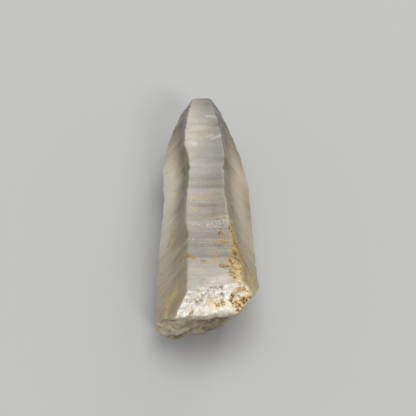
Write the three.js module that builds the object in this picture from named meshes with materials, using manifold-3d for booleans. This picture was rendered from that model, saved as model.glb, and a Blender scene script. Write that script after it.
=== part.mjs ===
// Rough quartz crystal: one six-sided point with a broken base, lying on a prism face.
//
// Sizes are millimetres. +Y runs along the crystal's long axis from the broken base to the tip, +Z is
// up and +X is to the right as seen from the base. The finished part stands on z = 0 with its origin
// at the bottom centre of its bounding box.
//
// The prism is a loft of six-sided sections whose faces keep quartz's 120 degree corners. Growth
// ledges step each face, two three-sided pyramids cut the tip, a slab with a conchoidal front breaks
// the base off, and small knocks chip the long edges.

import * as THREE from "three";
import { mergeVertices } from "three/addons/utils/BufferGeometryUtils.js";
import Module from "manifold-3d";

// ---- Driving sizes -------------------------------------------------------------------------------

const AXIS_HEIGHT = 10.4; // from the face it rests on to the long axis
const CORNER_SLOPE = Math.tan(THREE.MathUtils.degToRad(60)); // how steeply the upper flanks fall
const TIP_SLOPE = THREE.MathUtils.degToRad(38.2); // between a tip face and the long axis

// The outline at its changes of direction: heights of the top and the resting face, and the sideways
// places of the four long edges that show from above.
const STATIONS = [
  { y: -46.0, top: 20.8, bottom: 0.0, topLeft: -4.6, topRight: 7.6, left: -12.5, right: 11.9 },
  { y: -36.0, top: 20.8, bottom: 0.0, topLeft: -4.6, topRight: 7.5, left: -12.4, right: 11.8 },
  { y: -28.0, top: 20.8, bottom: 0.0, topLeft: -4.6, topRight: 7.3, left: -12.2, right: 11.8 },
  { y: -22.0, top: 20.8, bottom: 0.0, topLeft: -4.5, topRight: 6.2, left: -12.3, right: 11.6 },
  { y: -18.8, top: 20.8, bottom: 0.0, topLeft: -4.6, topRight: 5.5, left: -12.2, right: 11.6 },
  { y: -14.0, top: 20.8, bottom: 0.0, topLeft: -5.4, topRight: 4.9, left: -12.1, right: 11.4 },
  { y: -4.0, top: 20.8, bottom: 0.0, topLeft: -5.1, topRight: 4.0, left: -11.6, right: 11.1 },
  { y: 4.0, top: 20.8, bottom: 0.0, topLeft: -4.7, topRight: 3.9, left: -11.4, right: 10.9 },
  { y: 8.0, top: 20.8, bottom: 0.0, topLeft: -5.2, topRight: 4.3, left: -11.8, right: 10.6 },
  { y: 13.0, top: 20.4, bottom: 0.6, topLeft: -6.2, topRight: 3.9, left: -12.0, right: 9.7 },
  { y: 18.5, top: 20.0, bottom: 1.6, topLeft: -6.1, topRight: 3.4, left: -11.6, right: 8.6 },
  { y: 23.5, top: 19.2, bottom: 2.9, topLeft: -5.8, topRight: 2.8, left: -10.9, right: 7.2 },
  { y: 28.5, top: 18.3, bottom: 4.2, topLeft: -5.5, topRight: 2.1, left: -9.6, right: 5.6 },
  { y: 33.0, top: 17.3, bottom: 5.4, topLeft: -4.8, topRight: 1.4, left: -8.1, right: 4.1 },
  { y: 44.0, top: 15.0, bottom: 7.6, topLeft: -3.2, topRight: -0.6, left: -5.1, right: 1.5 },
];

// The six prism faces, counterclockwise seen from the base: the direction each one faces, in degrees
// from +X towards +Z, how many strips it has across and how strongly the ledges show on it. The one it
// rests on is flat.
const FACES = [
  { name: "right upper", angle: 30, strips: 5, relief: 0.7 },
  { name: "top", angle: 90, strips: 6, relief: 1 },
  { name: "left upper", angle: 150, strips: 5, relief: 0.75 },
  { name: "left lower", angle: 210, strips: 3, relief: 0.45 },
  { name: "bottom", angle: 270, strips: 3, relief: 0 },
  { name: "right lower", angle: 330, strips: 3, relief: 0.45 },
];
const [RIGHT_UPPER, TOP, LEFT_UPPER] = FACES.keys();

// Ledges that run round most of the crystal: where they are and how far they step in.
const MAIN_LEDGES = [
  { y: -31.7, step: 0.1 },
  { y: -26.6, step: 0.28 },
  { y: -20.9, step: 0.34 },
  { y: -15.2, step: 0.2 },
  { y: -8.6, step: 0.22 },
  { y: -4.0, step: 0.32 },
  { y: 2.6, step: 0.18 },
  { y: 8.0, step: 0.36 },
  { y: 13.6, step: 0.26 },
  { y: 19.4, step: 0.2 },
  { y: 25.0, step: 0.28 },
  { y: 30.4, step: 0.22 },
];
const LEDGE_SPREAD = { least: 0.6, range: 0.7 }; // how a ledge's step varies from face to face
const LEDGE_WANDER = { amount: 0.35, pitch: 2.2 }; // and across one face
const FINE_LEDGE = { first: -25.5, last: 40, pitch: 1.15, pitchSpread: 1.5, step: 0.05, stepSpread: 0.11 };
const FINE_LEDGE_GAPS = 0.4; // share of the faces each fine ledge skips
const RISER_LENGTH = 0.24; // along the crystal, for every ledge

// Long hollows in the faces, deepest at `at` across the face, between two places along the crystal.
const HOLLOWS = [
  { face: LEFT_UPPER, depth: 0.75, at: 0.34, from: -20, to: 37 },
  { face: RIGHT_UPPER, depth: 0.5, at: 0.8, from: -9, to: 35 },
  { face: TOP, depth: 0.16, at: 0.55, from: -19, to: 7 },
];

// The tip: two three-sided pyramids, one for each set of rhombohedral faces.
const TIP = {
  height: 30,
  footLength: 100,
  major: { x: -1.9, y: 42.5, z: 11.4 },
  minor: { x: -1.7, y: 41.2, z: 11.6 },
};

// The broken base: three planes y = at + across * x + rise * z, and what is scooped out of them.
const BREAK_PLANES = {
  undercut: { at: -32.6, across: 0.14, rise: -0.41 },
  rightSide: { at: -35.8, across: 1.38, rise: -0.78 },
  bevel: { at: -51.4, across: 0.2, rise: 0.777 },
};
const BREAK_SLAB = { width: 30, height: 25, back: -60, columns: 44, rows: 36 };
const BREAK_SCOOPS = [
  { x: -11.2, z: 9.8, radius: 5.0, depth: 1.6 }, // left shell, with its arched rim on the flank
  { x: 1.6, z: 7.2, radius: 5.9, depth: 1.7 }, // right shell, under an overhanging lip
  { x: 0.5, z: 0.4, radius: 4.9, depth: 1.45 },
  { x: -3.9, z: 0.0, radius: 1.6, depth: 1.4 }, // notch between the two at the foot
  { x: 4.4, z: 0.0, radius: 3.0, depth: 0.7 },
  { x: 7.0, z: 4.6, radius: 3.6, depth: 0.9 },
  { x: -4.6, z: 8.4, radius: 3.0, depth: 0.7 },
  { x: 0.4, z: 18.6, radius: 2.2, depth: 0.4 },
  { x: -3.6, z: 18.6, radius: 1.7, depth: 0.3 },
];
const BREAK_RIPPLE = { x: -14, z: 2, pitch: 1.35, height: 0.16 }; // rings round (x, z)
const BREAK_BLEND = 1.5; // how wide the change from the bevel's pits to the ripples is
const BREAK_GRAIN = { size: 2.1, height: 0.34 };
const BEVEL_GRAIN = { size: 1.3, height: 0.42 };

// Knocks on the long edges and the base's right shoulder: drawn-out balls taken away.
const CHIPS = [
  { x: 8.6, y: -36.6, z: 18.4, radius: 3.1, length: 3.1 },
  { x: 7.6, y: -25.2, z: 21.6, radius: 1.3, length: 2.2 },
  { x: -5.6, y: -12.2, z: 21.5, radius: 1.05, length: 1.8 },
  { x: 4.7, y: -2.6, z: 21.5, radius: 0.9, length: 1.9 },
  { x: -12.8, y: 2.4, z: 9.8, radius: 1.2, length: 3.2 },
  { x: -13.2, y: -16.8, z: 8.4, radius: 1.15, length: 2.4 },
  { x: 12.5, y: -19.6, z: 10.3, radius: 1.1, length: 2.7 },
  { x: 11.8, y: 5.4, z: 8.5, radius: 1.05, length: 2.2 },
  { x: -6.9, y: 14.4, z: 21.1, radius: 0.95, length: 1.6 },
  { x: -8.9, y: -7.4, z: -0.3, radius: 1.1, length: 3.0 },
];
const CHIP_DETAIL = 1;

// ---- Repeatable irregularity ---------------------------------------------------------------------

// A fixed pseudo-random number from 0 to 1 for each n.
function scatter(n) {
  const s = Math.sin(n * 127.1 + 11.7) * 43758.5453;
  return s - Math.floor(s);
}

// Smooth noise from -1 to 1 over a plane.
function noise(x, z, seed) {
  const column = Math.floor(x);
  const row = Math.floor(z);
  const ease = (t) => t * t * (3 - 2 * t);
  const [u, v] = [ease(x - column), ease(z - row)];
  const corner = (i, j) => scatter((column + i) * 1.37 + (row + j) * 57.31 + seed * 19.19);
  const near = THREE.MathUtils.lerp(corner(0, 0), corner(1, 0), u);
  const far = THREE.MathUtils.lerp(corner(0, 1), corner(1, 1), u);
  return 2 * THREE.MathUtils.lerp(near, far, v) - 1;
}

// ---- The prism -----------------------------------------------------------------------------------

// The outline at y, straight between stations.
function outlineAt(y) {
  const next = Math.max(1, STATIONS.findIndex((s) => s.y >= y));
  const [a, b] = [STATIONS[next - 1], STATIONS[next]];
  const t = (y - a.y) / (b.y - a.y);
  return Object.fromEntries(Object.keys(a).map((key) => [key, THREE.MathUtils.lerp(a[key], b[key], t)]));
}

// How far each of the six faces lies from the long axis at y, in the order of FACES.
function faceDistances(y) {
  const o = outlineAt(y);
  const [cos30, sin30] = [Math.cos(Math.PI / 6), 0.5];
  const top = o.top - AXIS_HEIGHT;
  const bottom = AXIS_HEIGHT - o.bottom;
  const leftUpper = sin30 * top - cos30 * o.topLeft;
  const rightUpper = sin30 * top + cos30 * o.topRight;
  const leftLower = -2 * cos30 * o.left - leftUpper;
  const rightLower = 2 * cos30 * o.right - rightUpper;
  return [rightUpper, top, leftUpper, leftLower, bottom, rightLower];
}

// All ledges in order along the crystal, each with its own step on each face.
function growthLedges() {
  const spread = (n) => LEDGE_SPREAD.least + LEDGE_SPREAD.range * scatter(n);
  const ledges = MAIN_LEDGES.map(({ y, step }, i) => ({
    y,
    steps: FACES.map(({ relief }, face) => step * relief * spread(i * 3.1 + face)),
  }));
  let y = FINE_LEDGE.first;
  for (let i = 0; y < FINE_LEDGE.last; i += 1) {
    y += FINE_LEDGE.pitch + FINE_LEDGE.pitchSpread * scatter(i + 0.5);
    const place = y;
    if (ledges.some((l) => Math.abs(l.y - place) < 3 * RISER_LENGTH)) continue;
    const step = FINE_LEDGE.step + FINE_LEDGE.stepSpread * scatter(i + 40.5);
    const shows = (face) => scatter(i * 5.3 + face * 2.9) > FINE_LEDGE_GAPS;
    ledges.push({ y: place, steps: FACES.map(({ relief }, face) => (shows(face) ? step * relief : 0)) });
  }
  return ledges.sort((a, b) => a.y - b.y);
}
const LEDGES = growthLedges();

// A saw-tooth for one face: it steps in by the ledge's height, then climbs back before the next one.
function ledgeRelief(face, y, across) {
  const own = LEDGES.filter((l) => l.steps[face] > 0);
  const next = own.findIndex((l) => l.y + RISER_LENGTH > y);
  if (next < 1) return 0;
  const [before, after] = [own[next - 1], own[next]];
  const wander = 1 + LEDGE_WANDER.amount * noise(across * LEDGE_WANDER.pitch, after.y, face);
  const low = -before.steps[face] / 2;
  const high = after.steps[face] / 2;
  const climb = (y - before.y - RISER_LENGTH) / (after.y - before.y - RISER_LENGTH);
  if (y <= after.y) return wander * THREE.MathUtils.lerp(low, high, THREE.MathUtils.clamp(climb, 0, 1));
  return wander * high * (1 - 2 * ((y - after.y) / RISER_LENGTH));
}

// The long hollows: zero at the face's edges and ends.
function hollowRelief(face, y, across) {
  let depth = 0;
  for (const h of HOLLOWS.filter((hollow) => hollow.face === face)) {
    const along = (y - h.from) / (h.to - h.from);
    if (along <= 0 || along >= 1) continue;
    const skew = across < h.at ? across / h.at : (1 - across) / (1 - h.at);
    depth += h.depth * Math.sin(Math.PI * along) ** 0.6 * Math.sin((Math.PI / 2) * skew);
  }
  return -depth;
}

// Where the lines of two neighbouring faces cross, in the section plane.
function cornerOf(first, second, firstDistance, secondDistance) {
  const a = THREE.MathUtils.degToRad(FACES[first].angle);
  const b = THREE.MathUtils.degToRad(FACES[second].angle);
  const turn = Math.sin(b - a);
  return new THREE.Vector2(
    (firstDistance * Math.sin(b) - secondDistance * Math.sin(a)) / turn,
    (secondDistance * Math.cos(a) - firstDistance * Math.cos(b)) / turn,
  );
}

// One closed section of the prism, as points in the plane y.
function sectionAt(y) {
  const distances = faceDistances(y);
  const count = FACES.length;
  const edgeDistance = (face, across) => distances[face] + ledgeRelief(face, y, across);
  const corners = FACES.map((_, face) => {
    const next = (face + 1) % count;
    return cornerOf(face, next, edgeDistance(face, 1), edgeDistance(next, 0));
  });
  return FACES.flatMap(({ angle, strips }, face) => {
    const start = corners[(face + count - 1) % count];
    const end = corners[face];
    const normal = new THREE.Vector2(1, 0).rotateAround(new THREE.Vector2(), THREE.MathUtils.degToRad(angle));
    const [reliefStart, reliefEnd] = [ledgeRelief(face, y, 0), ledgeRelief(face, y, 1)];
    return Array.from({ length: strips }, (_, i) => {
      const across = i / strips;
      const point = start.clone().lerp(end, across);
      if (i === 0) return point;
      const own = ledgeRelief(face, y, across) - THREE.MathUtils.lerp(reliefStart, reliefEnd, across);
      return point.addScaledVector(normal, own + hollowRelief(face, y, across));
    });
  });
}

// Where the loft has a section: at the stations and at both ends of each ledge's riser.
function sectionPlaces() {
  const [first, last] = [STATIONS[0].y, STATIONS.at(-1).y];
  const places = LEDGES.flatMap((l) => [l.y, l.y + RISER_LENGTH]);
  const inside = places.filter((y) => y > first && y < last);
  const apart = STATIONS.map((s) => s.y).filter((y) => inside.every((p) => Math.abs(p - y) > RISER_LENGTH));
  return [...inside, ...apart].sort((a, b) => a - b);
}

// The whole prism, closed by a fan at each end.
function prismGeometry() {
  const places = sectionPlaces();
  const sections = places.map(sectionAt);
  const around = sections[0].length;
  const positions = [];
  const indices = [];
  sections.forEach((section, i) => {
    for (const point of section) positions.push(point.x, places[i], point.y + AXIS_HEIGHT);
  });
  for (let i = 0; i + 1 < sections.length; i += 1) {
    for (let j = 0; j < around; j += 1) {
      const [a, b] = [i * around + j, i * around + ((j + 1) % around)];
      indices.push(a, b + around, b, a, a + around, b + around);
    }
  }
  for (const [end, flip] of [[0, false], [sections.length - 1, true]]) {
    const middle = positions.length / 3;
    positions.push(0, places[end], AXIS_HEIGHT);
    for (let j = 0; j < around; j += 1) {
      const [a, b] = [end * around + j, end * around + ((j + 1) % around)];
      indices.push(middle, ...(flip ? [b, a] : [a, b]));
    }
  }
  const geometry = new THREE.BufferGeometry();
  geometry.setAttribute("position", new THREE.Float32BufferAttribute(positions, 3));
  geometry.setIndex(indices);
  return geometry;
}

// ---- What cuts it --------------------------------------------------------------------------------

// A three-sided pyramid around the long axis with its apex at `apex`. `turn` sets which prism faces it caps.
function tipGeometry(apex, turn) {
  const radius = 2 * TIP.height * Math.tan(TIP_SLOPE);
  const geometry = new THREE.ConeGeometry(radius, TIP.height, 3, 1, false, turn);
  return geometry.translate(apex.x, apex.y - TIP.height / 2, apex.z);
}

// The same pyramid with a long foot, so that it keeps all of the prism behind the tip.
function tipKeeper(apex, turn) {
  const radius = 2 * TIP.height * Math.tan(TIP_SLOPE);
  const foot = new THREE.CylinderGeometry(radius, radius, TIP.footLength, 3, 1, false, turn);
  foot.translate(apex.x, apex.y - TIP.height - TIP.footLength / 2, apex.z);
  return toSolid(tipGeometry(apex, turn)).add(toSolid(foot));
}

// Where the break lies behind the point (x, z) of the base: what is nearer the base than this is gone.
function breakAt(x, z) {
  const plane = ({ at, across, rise }) => at + across * x + rise * z;
  const bevel = plane(BREAK_PLANES.bevel);
  const under = Math.max(plane(BREAK_PLANES.undercut), plane(BREAK_PLANES.rightSide));
  let y = Math.max(bevel, under);
  for (const scoop of BREAK_SCOOPS) {
    const r = Math.hypot(x - scoop.x, z - scoop.z) / scoop.radius;
    if (r < 1) y += scoop.depth * (1 - r * r);
  }
  const onBevel = THREE.MathUtils.smoothstep(bevel - under, -BREAK_BLEND, BREAK_BLEND);
  const fromCentre = Math.hypot(x - BREAK_RIPPLE.x, z - BREAK_RIPPLE.z);
  const ripple = BREAK_RIPPLE.height * Math.sin((fromCentre / BREAK_RIPPLE.pitch) * Math.PI);
  const grain = BREAK_GRAIN.height * noise(x / BREAK_GRAIN.size, z / BREAK_GRAIN.size, 3);
  const pits = BEVEL_GRAIN.height * noise(x / BEVEL_GRAIN.size, z / BEVEL_GRAIN.size, 8);
  return y + THREE.MathUtils.lerp(ripple + grain, pits, onBevel);
}

// A slab behind the base whose front is the broken surface.
function breakGeometry() {
  const { width, height, back, columns, rows } = BREAK_SLAB;
  const geometry = new THREE.BoxGeometry(width, 1, height, columns, 1, rows);
  geometry.translate(0, 0, AXIS_HEIGHT);
  const position = geometry.getAttribute("position");
  for (let i = 0; i < position.count; i += 1) {
    const front = position.getY(i) > 0;
    position.setY(i, front ? breakAt(position.getX(i), position.getZ(i)) : back);
  }
  return geometry;
}

function chipGeometry({ x, y, z, radius, length }) {
  return new THREE.IcosahedronGeometry(radius, CHIP_DETAIL).scale(1, length / radius, 1).translate(x, y, z);
}

// ---- Assembly ------------------------------------------------------------------------------------

const wasm = await Module();
wasm.setup();

function toSolid(geometry) {
  const bare = geometry.clone();
  bare.deleteAttribute("normal");
  bare.deleteAttribute("uv");
  const merged = mergeVertices(bare, 1e-4);
  return new wasm.Manifold(
    new wasm.Mesh({
      numProp: 3,
      vertProperties: merged.getAttribute("position").array,
      triVerts: new Uint32Array(merged.index.array),
    }),
  );
}

function toGeometry(solid) {
  const { numProp, vertProperties, triVerts } = solid.getMesh();
  const positions = new Float32Array((vertProperties.length / numProp) * 3);
  for (let i = 0; i * numProp < vertProperties.length; i += 1) {
    positions.set(vertProperties.subarray(i * numProp, i * numProp + 3), i * 3);
  }
  const geometry = new THREE.BufferGeometry();
  geometry.setAttribute("position", new THREE.BufferAttribute(positions, 3));
  geometry.setIndex(new THREE.BufferAttribute(triVerts, 1));
  return geometry;
}

// Puts the origin at the bottom centre of the bounding box.
function standOnOrigin(geometry) {
  geometry.computeBoundingBox();
  const { min, max } = geometry.boundingBox;
  return geometry.translate(-(min.x + max.x) / 2, -(min.y + max.y) / 2, -min.z);
}

function quartzCrystal() {
  let solid = toSolid(prismGeometry());
  solid = solid.intersect(tipKeeper(TIP.major, Math.PI / 3));
  solid = solid.intersect(tipKeeper(TIP.minor, 0));
  solid = solid.subtract(toSolid(breakGeometry()));
  for (const chip of CHIPS) solid = solid.subtract(toSolid(chipGeometry(chip)));
  const geometry = standOnOrigin(toGeometry(solid)).toNonIndexed();
  geometry.computeVertexNormals();
  const material = new THREE.MeshStandardMaterial({ color: 0xbdb8ab, roughness: 0.42, metalness: 0 });
  const mesh = new THREE.Mesh(geometry, material);
  mesh.name = "quartz_crystal";
  return mesh;
}

const part = new THREE.Group();
part.add(quartzCrystal());

export default part;
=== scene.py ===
"""The finished look of a rough quartz crystal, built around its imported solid.

The frame is the solid's own: metres, +Y from the broken base to the tip, +Z up, the floor at z = 0. Sizes and
places below are in millimetres in that frame, and MM turns them into metres.
"""

import itertools
import logging
import math
from dataclasses import dataclass, field
from enum import Enum

import bpy
import numpy as np
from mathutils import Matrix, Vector


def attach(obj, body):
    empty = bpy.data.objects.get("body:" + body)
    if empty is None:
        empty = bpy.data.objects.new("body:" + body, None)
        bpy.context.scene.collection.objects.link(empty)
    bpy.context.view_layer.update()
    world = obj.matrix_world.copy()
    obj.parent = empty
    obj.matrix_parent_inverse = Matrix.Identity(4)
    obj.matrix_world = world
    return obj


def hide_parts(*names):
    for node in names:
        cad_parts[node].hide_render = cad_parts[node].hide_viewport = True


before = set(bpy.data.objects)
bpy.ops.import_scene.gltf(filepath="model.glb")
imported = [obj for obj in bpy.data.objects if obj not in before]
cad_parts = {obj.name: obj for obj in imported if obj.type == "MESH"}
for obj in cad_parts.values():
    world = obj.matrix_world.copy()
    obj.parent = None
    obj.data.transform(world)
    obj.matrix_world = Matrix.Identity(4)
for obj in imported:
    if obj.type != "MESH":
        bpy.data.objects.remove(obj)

MM = 0.001
NODE = "quartz_crystal"

Colour = tuple[float, float, float, float]
Place = tuple[float, float, float]
Course = tuple[tuple[float, float], ...]
Span = tuple[float, ...]

log = logging.getLogger("quartz")


# ---- Numbers that vary over the stone -------------------------------------------------------------


def smooth_step(values: np.ndarray, low: float, high: float) -> np.ndarray:
    """Rises smoothly from 0 at low to 1 at high.

    Args:
        values: Any numbers.
        low: Where the rise starts.
        high: Where it ends. It may be less than low, for a fall.

    Returns:
        A number from 0 to 1 for each value.
    """
    t = np.clip((values - low) / (high - low), 0.0, 1.0)
    return t * t * (3 - 2 * t)


def scatter(cells: np.ndarray, seed: int) -> np.ndarray:
    """A fixed pseudo-random number from 0 to 1 for each cell of a lattice.

    Args:
        cells: Whole numbers, one row for each cell.
        seed: Picks one of many patterns.

    Returns:
        One number for each row.
    """
    mixed = (cells * np.array([73856093, 19349663, 83492791])).sum(axis=1) + seed * 2654435761
    mixed = (mixed ^ (mixed >> 13)) * 1274126177
    mixed = (mixed ^ (mixed >> 16)) & 0xFFFFFF
    return mixed / 0xFFFFFF


def cloud(points: np.ndarray, seed: int) -> np.ndarray:
    """Smooth noise from -1 to 1 with features about one unit across.

    Args:
        points: Places, one row each.
        seed: Picks one of many patterns.

    Returns:
        One number for each place.
    """
    base = np.floor(points).astype(np.int64)
    ease = points - base
    ease = ease * ease * (3 - 2 * ease)
    total = np.zeros(len(points))
    for corner in itertools.product((0, 1), repeat=3):
        weight = np.prod(np.where(corner, ease, 1 - ease), axis=1)
        total += weight * scatter(base + corner, seed)
    return 2 * total - 1


def layered_cloud(points: np.ndarray, seed: int, layers: int = 3) -> np.ndarray:
    """Cloud noise with finer and weaker layers added.

    Args:
        points: Places, one row each.
        seed: Picks one of many patterns.
        layers: How many, each twice as fine and half as strong as the last.

    Returns:
        One number for each place, mostly from -1 to 1.
    """
    total = np.zeros(len(points))
    for layer in range(layers):
        total += cloud(points * 2**layer, seed + layer) / 2**layer
    return total / (2 - 2 ** (1 - layers))


def shards(points: np.ndarray, seed: int) -> np.ndarray:
    """The height of a surface broken into small flat facets, each tilted its own way.

    Args:
        points: Places, one row each, about one unit to a facet.
        seed: Picks one of many patterns.

    Returns:
        One height for each place, mostly from -0.6 to 0.6.
    """
    base = np.floor(points).astype(np.int64)
    nearest = np.full(len(points), 9.0)
    height = np.zeros(len(points))
    for step in itertools.product((-1, 0, 1), repeat=3):
        cell = base + step
        gap = points - cell - np.stack([scatter(cell, seed + axis) for axis in range(3)], axis=1)
        distance = np.linalg.norm(gap, axis=1)
        tilt = np.stack([scatter(cell, seed + 40 + axis) for axis in range(3)], axis=1) - 0.5
        facet = 1.8 * (tilt * gap).sum(axis=1) + 0.4 * (scatter(cell, seed + 50) - 0.5)
        height = np.where(distance < nearest, facet, height)
        nearest = np.minimum(nearest, distance)
    return height


def veins(points: np.ndarray, seed: int) -> np.ndarray:
    """Thin winding lines, about one unit apart.

    Args:
        points: Places, one row each.
        seed: Picks one of many patterns.

    Returns:
        1 along the lines, falling to 0 beside them.
    """
    return smooth_step(np.abs(cloud(points, seed)), 0.3, 0.0)


# ---- The crystal's surface as arrays --------------------------------------------------------------


class Face(Enum):
    """The six prism faces, by the angle each looks along in the cross-section."""

    RIGHT_UPPER = 30
    TOP = 90
    LEFT_UPPER = 150
    LEFT_LOWER = 210
    BOTTOM = 270
    RIGHT_LOWER = 330

    @property
    def outward(self) -> np.ndarray:
        """The way this face looks."""
        turn = math.radians(self.value)
        return np.array([math.cos(turn), 0.0, math.sin(turn)])

    @property
    def across(self) -> np.ndarray:
        """The way across this face, turning from the right over the top."""
        turn = math.radians(self.value)
        return np.array([-math.sin(turn), 0.0, math.cos(turn)])


class Skin:
    """A mesh's vertices as arrays in millimetres, with what is needed to move and mark them."""

    def __init__(self, mesh: bpy.types.Mesh) -> None:
        """Reads the mesh.

        Args:
            mesh: A closed mesh whose faces point outwards.
        """
        self.mesh = mesh
        self.count = len(mesh.vertices)
        flat = np.empty(self.count * 3)
        mesh.vertices.foreach_get("co", flat)
        self.places = flat.reshape(-1, 3) / MM
        ends = np.empty(len(mesh.edges) * 2, dtype=np.int64)
        mesh.edges.foreach_get("vertices", ends)
        self.first, self.second = ends.reshape(-1, 2).T
        self.degree = np.bincount(ends, minlength=self.count)
        flat = np.empty(self.count * 3)
        mesh.vertex_normals.foreach_get("vector", flat)
        self.normals = flat.reshape(-1, 3)

    def around(self, values: np.ndarray) -> np.ndarray:
        """The mean of each vertex's neighbours.

        Args:
            values: One number, or one row of numbers, for each vertex.

        Returns:
            The means, in the same shape.
        """
        if values.ndim == 2:
            return np.stack([self.around(column) for column in values.T], axis=1)
        total = np.bincount(self.first, values[self.second], self.count)
        total += np.bincount(self.second, values[self.first], self.count)
        return total / self.degree

    def blurred(self, values: np.ndarray, times: int) -> np.ndarray:
        """Values spread over the surface.

        Args:
            values: One number, or one row of numbers, for each vertex.
            times: How often each vertex is averaged with its neighbours.

        Returns:
            The blurred values.
        """
        for _ in range(times):
            values = (values + self.around(values)) / 2
        return values

    def ridges(self, times: int) -> np.ndarray:
        """How sharply the surface stands out at each vertex.

        Args:
            times: How far the measure is spread.

        Returns:
            Above 0 on edges and bumps, below 0 in hollows.
        """
        pull = self.around(self.places) - self.places
        return self.blurred(-(pull * self.normals).sum(axis=1), times)

    def lower(self, depth: np.ndarray) -> None:
        """Moves each vertex inwards.

        Args:
            depth: How far, in millimetres.
        """
        self.places = self.places - self.normals * depth[:, None]

    def write(self) -> None:
        """Puts the moved vertices back into the mesh."""
        self.mesh.vertices.foreach_set("co", (self.places * MM).ravel())
        self.mesh.update()

    def mark(self, name: str, values: np.ndarray) -> None:
        """Stores one number for each vertex, for the finish to read.

        Args:
            name: The attribute's name.
            values: The numbers.
        """
        attribute = self.mesh.attributes.new(name, "FLOAT", "POINT")
        attribute.data.foreach_set("value", values.astype(np.float32))


# ---- Marks that follow a line on the surface ------------------------------------------------------


class Mark(Enum):
    """What a mark along a line leaves: stain, crust, frost, carved creases, notches and bulges, a smoothed
    glaze, and painted highlights and shade.
    """

    RUST = "rust"
    CRUST = "crust"
    # PALE: painted highlights, namely glints on the top face, the lit lip of the bevel and bright spots on
    # the bevel and chip. They are stored in the pale attribute.
    PALE = "pale"
    # CLEAR: painted shade, as dark patches where the stone shows dark through it. They are stored in the
    # clear attribute.
    CLEAR = "clear"
    FROST = "frost"
    # CREASE: carved and darkened. On the bevel these are real cracks; in the lower break they are painted
    # shade, with the painted shadow under the overhanging lip.
    CREASE = "crease"
    GLAZE = "glaze"
    NOTCH = "notch"
    BULGE = "bulge"


PAINTED_MARKS = (Mark.FROST, Mark.RUST, Mark.CRUST, Mark.CREASE)


@dataclass(frozen=True)
class Seep:
    """A soft-edged mark along a line on the surface: a crack, a stain, a patch, painted highlights or painted
    shade.

    Args:
        line: Places along it, in millimetres.
        reach: How far it spreads to each side.
        strength: How strong it is at its heart, from 0 to 1.
        ragged: How unevenly it spreads.
    """

    line: tuple[Place, ...]
    reach: float
    strength: float
    ragged: float = 0.9

    def over(self, places: np.ndarray) -> np.ndarray:
        """How strongly it marks each place.

        Args:
            places: Places in millimetres, one row each.

        Returns:
            A number from 0 to its strength for each place.
        """
        ends = np.array(self.line + self.line[-1:], dtype=float)
        margin = 3 * self.reach
        close = np.all((places > ends.min(axis=0) - margin) & (places < ends.max(axis=0) + margin), axis=1)
        spots = places[close]
        bend = np.stack([cloud(spots * 1.3, seed=seed) for seed in (81, 82, 83)], axis=1)
        bent = spots + 0.6 * self.ragged * min(self.reach, 0.8) * bend
        nearest = np.full(len(spots), 1e9)
        for start, end in zip(ends[:-1], ends[1:]):
            run = end - start
            along = np.clip(((bent - start) @ run) / max(float(run @ run), 1e-9), 0, 1)
            nearest = np.minimum(nearest, np.linalg.norm(bent - start - along[:, None] * run, axis=1))
        rag = 1 + self.ragged * layered_cloud(spots / (0.8 * self.reach + 0.35), seed=51)
        amount = np.zeros(len(places))
        amount[close] = self.strength * smooth_step(nearest / (self.reach * rag.clip(0.25)), 1.3, 0.0)
        return amount


# ---- Noise patterns and node helper ---------------------------------------------------------------


@dataclass(frozen=True)
class Grain:
    """One noise pattern.

    Args:
        scale: Features per millimetre along X, Y and Z.
        detail: How many finer layers.
        roughness: How strong they are.
        twist: How far the features are drawn into curls.
    """

    scale: Place
    detail: float
    roughness: float
    twist: float = 0.0


class Pattern(Enum):
    """The stone's noise patterns, by what each one draws."""

    CLOUDS = Grain((0.14, 0.10, 0.14), 4, 0.5)
    DRIFT = Grain((0.12, 0.3, 0.12), 2, 0.6)
    THREADS = Grain((0.22, 3.0, 0.22), 2, 0.6)
    WISPS = Grain((0.45, 1.1, 0.45), 4, 0.62)
    SMOKE = Grain((0.3, 0.75, 0.3), 3, 0.55)
    LINES = Grain((0.03, 1.3, 0.03), 3, 0.62)
    FINE_LINES = Grain((0.1, 3.2, 0.1), 2, 0.6)
    BANDS = Grain((0.03, 0.42, 0.03), 3, 0.6)
    MOTTLE = Grain((1.9, 2.6, 1.9), 3, 0.7)
    SPECKLE = Grain((2.4, 2.4, 2.4), 3, 0.62)
    BLOTCHES = Grain((0.75, 0.75, 0.75), 3, 0.55)
    CRACKS = Grain((0.4, 0.55, 0.95), 3, 0.6, 0.8)
    CURLS = Grain((1.5, 1.5, 1.5), 3, 0.65, 1.6)
    SPARKS = Grain((2.6, 3.8, 2.6), 2, 0.7)
    SPREAD = Grain((1.5, 1.9, 1.5), 4, 0.7)
    GRAINS = Grain((2.6, 2.6, 2.6), 2, 0.65)


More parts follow.
